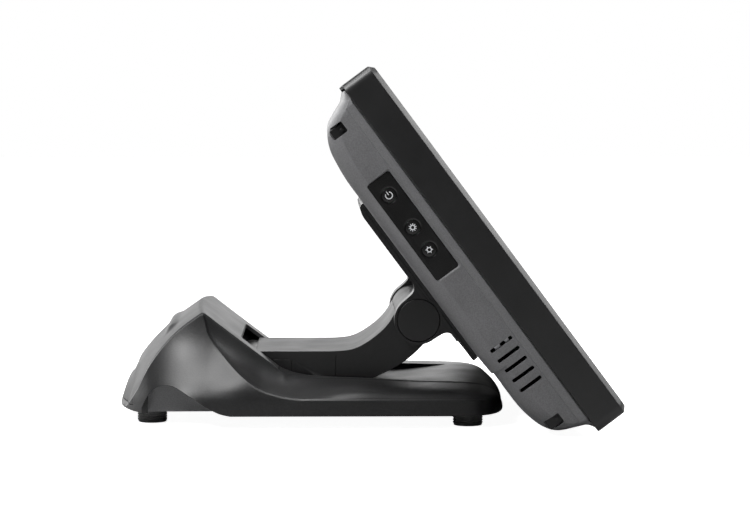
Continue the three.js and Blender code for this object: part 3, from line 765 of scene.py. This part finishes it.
# ---- the arm ------------------------------------------------------------------------------------------
# The arm's upper and lower lines as (y, z, corner radius), from the lift pivot to the knuckle and back.
ARM_TOP = [
    (LIFT_PIVOT[0], 48), (LID_END + 0.2, 48), (LID_END, 50.8), (16.3, 50.8, 14), (4.6, 54.4, 9),
    (-9, 63.8, 10), (-16.6, 71.8, 7), (-21.5, 80.5),
]
ARM_BOTTOM = [
    (-46, 60), (-36.7, 49.8, 9), (-25.6, 41, 7), (-11.9, 33.9, 7), (-3, 30.1, 6), (12.1, 29.8, 12),
    (46.9, 32.4, 10), (80.9, 17.6),
]


def arm_solid(inset, half_width):
    """The whole arm, or its hollow."""
    upper = [(y, z - inset, *radius) for y, z, *radius in ARM_TOP]
    lower = [(y, z + inset, *radius) for y, z, *radius in ARM_BOTTOM]
    return join(
        prism("x", outline(upper + lower), -half_width, half_width),
        rod("x", LIFT_PIVOT, LIFT_RADIUS - inset, -half_width, half_width, 72),
        rod("x", KNUCKLE, KNUCKLE_RADIUS - inset, -half_width, half_width, 96),
    )


def lid_region(thickness, clear):
    """Where the arm's lid lies: a strip under the upper line and a sector over the tilt knuckle."""
    half = LID_HALF_WIDTH + clear
    start = LID_END + clear
    under = [(y - thickness * 0.45, z - thickness, *radius) for y, z, *radius in ARM_TOP[3:]]
    strip = outline([(start, 60), (-12, 90), (-26, 90), (-26, 84), *under[::-1], (start, 50.8 - thickness)])
    y, z = KNUCKLE
    sector = outline([
        (y - clear, z - clear), (y + 30, z + 8 - clear), (y + 20, z + 30), (y - 2 - clear, z + 30),
    ])
    whole = join(prism("x", strip, -half, half), prism("x", sector, -half, half))
    return cut(whole, rod("x", KNUCKLE, KNUCKLE_RADIUS - thickness, -90, 90, 96))


def side_grooves():
    """The fine lines in the arm's sides: a hatch by the lift pivot, and the joint of the side panels."""
    width = GROOVE["width"]
    front, rear, low, high = (HATCH[key] for key in ("front", "rear", "low", "high"))
    joint = SIDE_JOINT["place"]
    grooves = []
    for _, side in SIDES:
        across = span(side, ARM_HALF_WIDTH - GROOVE["depth"], ARM_HALF_WIDTH + 1)
        grooves.append(block(*across, front, rear, high, high + width))
        grooves.append(block(*across, front - width, front, low, high + width))
        grooves.append(block(*across, joint, joint + width, SIDE_JOINT["low"], SIDE_JOINT["high"]))
    return grooves


def make_arm():
    holes = [
        rod("x", LIFT_PIVOT, SHAFT_HOLE["lift"], -90, 90),
        rod("x", KNUCKLE, SHAFT_HOLE["tilt"], -90, 90),
    ]
    body = cut(arm_solid(0, ARM_HALF_WIDTH), lid_region(3.1, SEAM), *holes)
    body = cut(body, cut(arm_solid(WALL, ARM_HALF_WIDTH - WALL), lid_region(3.1, SEAM)))
    body = cut(soften(biggest_body(body), 0.45, 55), *side_grooves())
    piece(shaded(body), "arm_shell", in_design, "arm", "satin_black_plastic", ["arm_body"])
    lid = soften(biggest_body(common(arm_solid(0, ARM_HALF_WIDTH), lid_region(2.6, 0))), 0.9, 55, 3)
    piece(shaded(lid), "arm_lid", in_design, "arm", "grey_cover_plastic", ["arm_top_cover"])


# ---- the head -----------------------------------------------------------------------------------------
def rounded_ring(half_width, half_height, radius, depth, steps=10):
    line = rectangle(-half_width, half_width, -half_height, half_height, radius, steps)
    return ring_at("y", line, depth)


def make_bezel():
    """The front frame: a flat border with a broad chamfer outside and a narrow one round the screen."""
    width, height, corner, bevel = (HEAD[key] for key in ("half_width", "half_height", "corner", "chamfer"))
    steps = [
        (bevel + 0.5, 0.0), (bevel, 0.12), (bevel - 0.4, 0.4),
        (0.35, bevel - 0.35), (0.1, bevel + 0.1), (0.0, bevel + 0.5),
    ]
    rings = [rounded_ring(width - step, height - step, corner - step * 0.5, depth) for step, depth in steps]
    back = HEAD["depth"] - 0.1
    rings.append(rounded_ring(width, height, corner, back - 0.4))
    rings.append(rounded_ring(width - 0.4, height - 0.4, corner, back))
    form = lofted("bezel", rings)
    inner_width, inner_height = width - WALL, height - WALL
    inside = prism("y", rectangle(-inner_width, inner_width, -inner_height, inner_height, corner), 3.2, 60)
    window = []
    for grow, radius, depth in ((1.6, 1.5, -1.0), (1.6, 1.5, 0.0), (0.0, 1.0, 2.2), (0.0, 1.0, 20.0)):
        size = (SCREEN["half_width"] + grow, SCREEN["half_height"] + grow)
        window.append(rounded_ring(*size, radius, depth, 3))
    bezel = shaded(cut(form, inside, lofted("window", window)), 25)
    piece(bezel, "bezel_frame", in_head, "head", "satin_black_plastic", ["front_bezel"], BEZEL_FINISH)


def make_screen():
    """The touch glass: one pane with eased edges."""
    front, back = PANE["front"], PANE["back"]
    rings = []
    for step, depth in ((0.3, front), (0.0, front + 0.3), (0.0, back - 0.3), (0.3, back)):
        rings.append(rounded_ring(PANE["half_width"] - step, PANE["half_height"] - step, 2, depth, 4))
    piece(shaded(lofted("pane", rings)), "touch_screen", in_head, "head", "screen_glass", ["touch_glass"])


# The housing's outline from the side as (depth, up, corner radius), from the top end down the back.
HOUSING_LINE = outline([
    (HEAD["depth"], 147.8), (32.6, 142.4, 2), (49, 135.7, 5), (53.8, 132, 4), (57.6, 126, 5),
    (60.8, 117.6, 8), (63.4, 98, 8), (63.4, -60, 6), (62.6, -75.2, 0.6), (61.3, -76.2, 0.6),
    (61.2, -106, 8), (59, -119.2, 8), (55.6, -128.8, 5), (50.2, -136, 5), (42, -139.8, 3),
    (30.8, -144.2, 2), (HEAD["depth"], -148.4),
], 6)


def housing_solid(inset):
    """The rear housing: a flange, flat flanks and a back that rounds away to its sides and ends."""
    line = HOUSING_LINE[np.argsort(-HOUSING_LINE[:, 1])]
    straight = np.linspace(90, -55, 12)
    line = np.concatenate([line, np.c_[np.full(12, 63.4), straight]])
    line = line[np.argsort(-line[:, 1])]
    front = HEAD["depth"] + (0.05 if inset == 0 else -12)
    rings = []
    for depth, up in line:
        up = up * (1 - inset / 148)
        beyond = max(abs(up) - (148.8 - inset - HOUSING["corner"]), 0)
        narrow = HOUSING["corner"] - math.sqrt(max(HOUSING["corner"] ** 2 - beyond**2, 0))
        flange = HOUSING["flange"] - inset - narrow
        flank = HOUSING["flank"] - inset - narrow
        back = max(depth - inset, front + 0.6)
        fold = max(min(back - HOUSING["round"], HOUSING["fold"]), front + 0.3)
        lip = min(HOUSING["lip"], fold - 0.15)
        half = np.array([
            (flange - 1.0, front), (flange, min(front + 1.0, lip - 0.1)), (flank + 0.8, lip),
            (flank, min(lip + 0.5, fold)), (flank - 0.5, max((lip + fold) / 2, fold - 0.8)),
            *quadratic((flank - 0.8, fold), (flank - 6.5, back + 0.2), (flank - 21, back), 12),
            (flank - 40, back),
        ])
        ring = np.concatenate([half, half[::-1] * np.array([-1.0, 1.0])])
        rings.append(ring_at("z", ring, up))
    return lofted("housing", rings)


def vent_cutters(side):
    across = span(side, 168, 190)
    reach = VENT["half_height"]
    slots = [rectangle(VENT["near"], VENT["far"], up - reach, up + reach, 1.0) for up in VENTS]
    return [prism("x", slot, *across) for slot in slots]


def panel_rectangle(grow, radius):
    """The key panel's rounded rectangle, larger all round by some millimetres."""
    across = (PANEL["near"] - grow, PANEL["far"] + grow)
    return rectangle(*across, PANEL["low"] - grow, PANEL["high"] + grow, radius)


def panel_window():
    """The key panel's opening, with sloping rims."""
    rings = []
    for grow, x in ((2.0, -181.5), (0.9, -180.1), (0.0, -179.0), (0.0, -170.0)):
        rings.append(ring_at("x", panel_rectangle(grow, 2.2), x))
    return lofted("window", rings)


def make_housing():
    half = PORT_OPENING["half_width"]
    port_opening = block(-half, half, 50, 70, PORT_OPENING["low"], PORT_OPENING["high"])
    cutters = [housing_solid(WALL), port_opening, panel_window()]
    for _, side in SIDES:
        cutters += vent_cutters(side)
        for window in LATCH_WINDOWS.values():
            cutters.append(prism("x", rectangle(*window, 1.2), *span(side, 170, 190)))
    cutters += [rod("y", place, 2.3, 55, 70) for place in PLATE_SCREWS]
    shell = shaded(biggest_body(cut(housing_solid(0), *cutters)), 28)
    # The housing wears the charcoal plastic painted lighter: painted light on its flanks.
    piece(shell, "housing_shell", in_head, "head", "charcoal_plastic", ["rear_housing"], HOUSING_PAINTED_LIGHT_FINISH)


def make_latches():
    """The hooks that hold the housing to the bezel, seen at the back of their windows."""
    plates = {"upper": (40.4, 52.4, 123, 131.2), "lower": (40.2, 52.4, -131.6, -122.8)}
    for name, side in SIDES:
        for row, (near, far, low, high) in plates.items():
            plate = prism("x", rectangle(near, far, low, high), *span(side, 168, 174.5))
            tip = prism("x", rectangle(near + 2.6, near + 5.6, low + 3, high - 3, 1), *span(side, 174, 176.2))
            hook = shaded(join(plate, tip))
            piece(hook, f"hook_{row}_{name}", in_head, "head", "satin_black_plastic", [f"latch_{row}_{name}"])


def make_button_panel():
    """The glossy plate with holes for its three round keys, each in a dished ring."""
    face = prism("x", panel_rectangle(-0.4, 1.9), PANEL["face"], -175.6)
    rim_line = rectangle(PANEL["near"] - 1.6, PANEL["far"] + 0.2, PANEL["low"] - 1.6, PANEL["high"] + 1.6)
    panel = join(face, prism("x", rim_line, -175.7, -174.4))
    centres = [(BUTTON["depth"], up) for up in BUTTONS.values()]
    holes = [rod("x", centre, BUTTON["radius"] + 0.4, -185, -170, 64) for centre in centres]
    dish = [(6.9, -179.5), (6.7, PANEL["face"]), (5.5, -178.3), (5.4, -170)]
    dishes = [turned("x", centre, dish) for centre in centres]
    panel = shaded(soften(cut(panel, *holes, *dishes), 0.25, 50), 30)
    piece(panel, "key_panel", in_head, "head", "gloss_black_plastic", ["button_panel"])


def key_cap(up):
    """A key's cap: a shallow dome with a rounded rim, on an oblong foot behind the panel."""
    radius, depth = BUTTON["radius"], BUTTON["depth"]
    dome = [
        (radius, -174.0), (radius, -178.2), (radius - 0.15, -178.55), (radius - 0.5, -178.75),
        (3.0, -178.83), (0.02, -178.85),
    ]
    reach, tall = BUTTON["foot"], BUTTON["foot_half_height"]
    foot = block(-174.1, -172.8, depth - reach, depth + reach, up - tall, up + tall)
    return join(turned("x", (depth, up), dome), foot)


def icon_ring(centre, inner, outer, start, end, count=40):
    """Part of a flat ring between two angles, in degrees from the head's up."""
    turns = np.radians(np.linspace(start, end, count))
    out = np.c_[centre[0] + outer * np.sin(turns), centre[1] + outer * np.cos(turns)]
    back = np.c_[centre[0] + inner * np.sin(turns), centre[1] + inner * np.cos(turns)][::-1]
    return prism("x", np.concatenate([out, back]), *ICON_LEVELS)


def icon_bar(centre, angle, inner, outer, width):
    """A short stroke that points away from the centre at an angle from the head's up."""
    along = np.array([math.sin(angle), math.cos(angle)])
    aside = np.array([along[1], -along[0]]) * width / 2
    near = np.array(centre) + along * inner
    far = np.array(centre) + along * outer
    corners = [near - aside, far - aside * 0.7, far + aside * 0.7, near + aside]
    return prism("x", np.array(corners), *ICON_LEVELS)


def power_icon(centre):
    return join(icon_ring(centre, 2.1, 2.75, 35, 325), icon_bar(centre, 0, 0.4, 3.3, 0.7))


def sun_icon(centre, rays, reach):
    middle = join(icon_ring(centre, 1.15, 1.9, 0, 180), icon_ring(centre, 1.15, 1.9, 180, 360))
    bars = [icon_bar(centre, 2 * math.pi * i / rays, 1.7, reach, 0.6) for i in range(rays)]
    return join(middle, *bars)


def make_keys():
    for node, up in BUTTONS.items():
        body = node.replace("_button", "_key")
        piece(shaded(key_cap(up), 30), body + "_cap", in_head, body, "gloss_black_plastic", [node])
        centre = (BUTTON["depth"], up)
        if node == "power_button":
            icon = power_icon(centre)
        elif node == "brightness_up_button":
            icon = sun_icon(centre, 10, 2.9)
        else:
            icon = sun_icon(centre, 6, 2.7)
        piece(icon, body + "_icon", in_head, body, "gloss_black_plastic", material=PRINT)


def bracket_solid():
    """The plate on the housing's back, in two layers, and the two ears that hold the tilt shaft."""
    depth, up = TILT_PIVOT
    front, back, top, bottom = (PLATE[k] for k in ("front", "back", "top", "bottom"))
    seam = front + 2.9
    outer = outline([
        (seam, bottom + 0.4), (back - 1.8, bottom, 5), (back - 1.8, bottom + 8, 4), (back, 0, 20),
        (back, top - 6.5, 4), (seam + 1, top - 0.6, 1), (seam, top - 1),
    ])
    inner = outline([
        (front, bottom + 0.6, 1.5), (seam + 0.1, bottom, 1.2), (seam + 0.1, top - 0.2, 1), (front, top, 1),
    ])
    neck = outline([
        (back - 3, up - 24), (back - 1.6, up - 24, 1), (back + 1.6, up - 18.8, 5),
        (depth, up - EAR["radius"]), (depth, up + EAR["radius"]),
        (back + 2.2, up + 18.8, 5), (back - 0.2, up + 24, 1), (back - 3, up + 24),
    ])
    made = [prism("x", outer, -EAR["outer"], EAR["outer"])]
    for _, side in SIDES:
        made.append(prism("x", neck, *span(side, EAR["inner"], EAR["outer"])))
        made.append(rod("x", (depth, up), EAR["radius"], *span(side, EAR["inner"], EAR["outer"]), 96))
    made = join(*made)
    layer = prism("x", inner, -EAR["outer"] + 0.45, EAR["outer"] - 0.45)
    return join(made, layer)


def make_bracket():
    depth, up = TILT_PIVOT
    pockets = []
    for _, side in SIDES:
        pockets.append(rod("x", (depth, up), EAR["cap"] + 0.55, *span(side, 76, 90), 96))
        pockets.append(rod("x", (depth, up), 10.5, *span(side, 69.6, 90)))
        pockets.append(rod("x", (depth, up), 12.4, *span(side, 59, 61.6)))
    pockets.append(rod("x", (depth, up), KNUCKLE_RADIUS + 0.6, -EAR["inner"] + 0.1, EAR["inner"] - 0.1, 96))
    pockets.append(rod("x", (depth, up), SHAFT_HOLE["tilt"], -90, 90))
    pockets += [rod("y", place, 4.6, 60, 80) for place in PLATE_SCREWS]
    bracket = shaded(soften(cut(bracket_solid(), *pockets), 0.5, 50, 3), 30)
    piece(bracket, "tilt_bracket_shell", in_head, "head", "satin_black_plastic", ["tilt_bracket"])


def make_pivot_caps():
    """Thin round discs that close the ears over the shaft's nuts."""
    radius = EAR["cap"]
    disc = [
        (radius - 0.4, 76.4), (radius, 76.6), (radius, 78.3), (radius - 0.15, 78.5), (radius - 0.5, 78.6),
        (0.05, 78.62),
    ]
    for name, side in SIDES:
        cap = shaded(turned("x", TILT_PIVOT, [(r, side * x) for r, x in disc], 96), 40)
        piece(cap, f"pivot_cap_cover_{name}", in_head, "head", "satin_black_plastic", [f"pivot_cap_{name}"])


# ---- CAD nodes that stay in view ----------------------------------------------------------------------
def finish_cad_nodes():
    """The pieces that the CAD already shows well keep their meshes, with softened edges and a finish."""
    slots = {part["node"]: part["material_slot"] for part in frame["record"]["subparts"]}
    for name, node in frame["nodes"].items():
        if node.hide_render:
            continue
        node.data.materials.clear()
        node.data.materials.append(FINISH[slots[name]])
        modifier = node.modifiers.new("soften", "BEVEL")
        modifier.width = 0.25 * MM
        modifier.segments = 2
        modifier.limit_method = "ANGLE"
        modifier.angle_limit = math.radians(40)


# ---- the studio ---------------------------------------------------------------------------------------
def area_light(name, size, place, aim, power):
    data = bpy.data.lights.new(name, "AREA")
    data.shape = "RECTANGLE"
    data.size, data.size_y = size
    data.energy = power
    lamp = bpy.data.objects.new(name, data)
    lamp.location = place
    lamp.rotation_euler = (Vector(aim) - Vector(place)).to_track_quat("-Z", "Y").to_euler()
    bpy.context.scene.collection.objects.link(lamp)


def make_world():
    """White to the eye. As light, a bright low backdrop beyond the object and a dark room all round it."""
    world = bpy.data.worlds.new("studio")
    world.use_nodes = True
    tree = world.node_tree
    way = tree.nodes.new("ShaderNodeTexCoord").outputs["Generated"]
    split = tree.nodes.new("ShaderNodeSeparateXYZ")
    tree.links.new(way, split.inputs[0])
    fades = []
    limits = (("X", BACKDROP["edge"], BACKDROP["full"]), ("Z", BACKDROP["top"], BACKDROP["bright"]))
    for axis, low, high in limits:
        fade = tree.nodes.new("ShaderNodeMapRange")
        fade.interpolation_type = "SMOOTHSTEP"
        fade.inputs["From Min"].default_value = low
        fade.inputs["From Max"].default_value = high
        fade.inputs["To Min"].default_value = 0.0
        tree.links.new(split.outputs[axis], fade.inputs["Value"])
        fades.append(fade.outputs["Result"])
    both = tree.nodes.new("ShaderNodeMath")
    both.operation = "MULTIPLY"
    tree.links.new(fades[0], both.inputs[0])
    tree.links.new(fades[1], both.inputs[1])
    level = tree.nodes.new("ShaderNodeMapRange")
    level.inputs["To Min"].default_value = BACKDROP["room"]
    level.inputs["To Max"].default_value = BACKDROP["strength"]
    tree.links.new(both.outputs[0], level.inputs["Value"])
    seen = tree.nodes.new("ShaderNodeMix")
    tree.links.new(tree.nodes.new("ShaderNodeLightPath").outputs["Is Camera Ray"], seen.inputs["Factor"])
    tree.links.new(level.outputs["Result"], seen.inputs["A"])
    seen.inputs["B"].default_value = 1.0
    tree.links.new(seen.outputs["Result"], tree.nodes["Background"].inputs["Strength"])
    tree.nodes["Background"].inputs["Color"].default_value = (1, 1, 1, 1)
    bpy.context.scene.world = world


def make_floor():
    """White where it is seen, and a dim bounce card where it lights the object."""
    reach = FLOOR["reach"]
    corners = [(-reach, -reach, 0), (reach, -reach, 0), (reach, reach, 0), (-reach, reach, 0)]
    floor = mesh_object("floor", corners, [(0, 1, 2, 3)])
    n = Nodes("pale floor")
    n.set(base_color=n.shades(n.noise(3, 3), (0.9, 0.9, 0.9), (0.93, 0.93, 0.93)), roughness=0.9)
    n.set(emission_color=(1, 1, 1, 1), emission_strength=FLOOR["glow"])
    n.shader.inputs["Specular IOR Level"].default_value = 0.0
    seen = n.add("ShaderNodeLightPath").outputs["Is Camera Ray"]
    card = n.add("ShaderNodeBsdfDiffuse", {"Color": (*[FLOOR["card"]] * 3, 1)}).outputs["BSDF"]
    mixed = n.add("ShaderNodeMixShader", {0: seen, 1: card, 2: n.shader.outputs["BSDF"]})
    n.tree.links.new(mixed.outputs[0], n.tree.nodes["Material Output"].inputs["Surface"])
    floor.data.materials.append(n.material)


def make_studio():
    make_floor()
    make_world()
    for softbox in SOFTBOXES:
        area_light(*softbox)


def make_camera():
    """Level with the object's left side and a little above it, looking slightly down and to the front."""
    data = bpy.data.cameras.new("camera")
    data.sensor_width = CAMERA["sensor"]
    data.lens = CAMERA["lens"]
    data.clip_start = 0.05
    data.clip_end = 30
    camera = bpy.data.objects.new("camera", data)
    camera.location = CAMERA["place"]
    pitch, yaw = CAMERA["pitch"], CAMERA["yaw"]
    forward = Vector((math.cos(pitch) * math.cos(yaw), -math.cos(pitch) * math.sin(yaw), -math.sin(pitch)))
    camera.rotation_euler = forward.to_track_quat("-Z", "Y").to_euler()
    bpy.context.scene.collection.objects.link(camera)
    bpy.context.scene.camera = camera


make_base()
make_arch_panels()
make_feet()
make_arm()
make_bezel()
make_screen()
make_housing()
make_latches()
make_button_panel()
make_keys()
make_bracket()
make_pivot_caps()
finish_cad_nodes()
make_studio()
make_camera()
bpy.context.scene.view_settings.view_transform = "Standard"
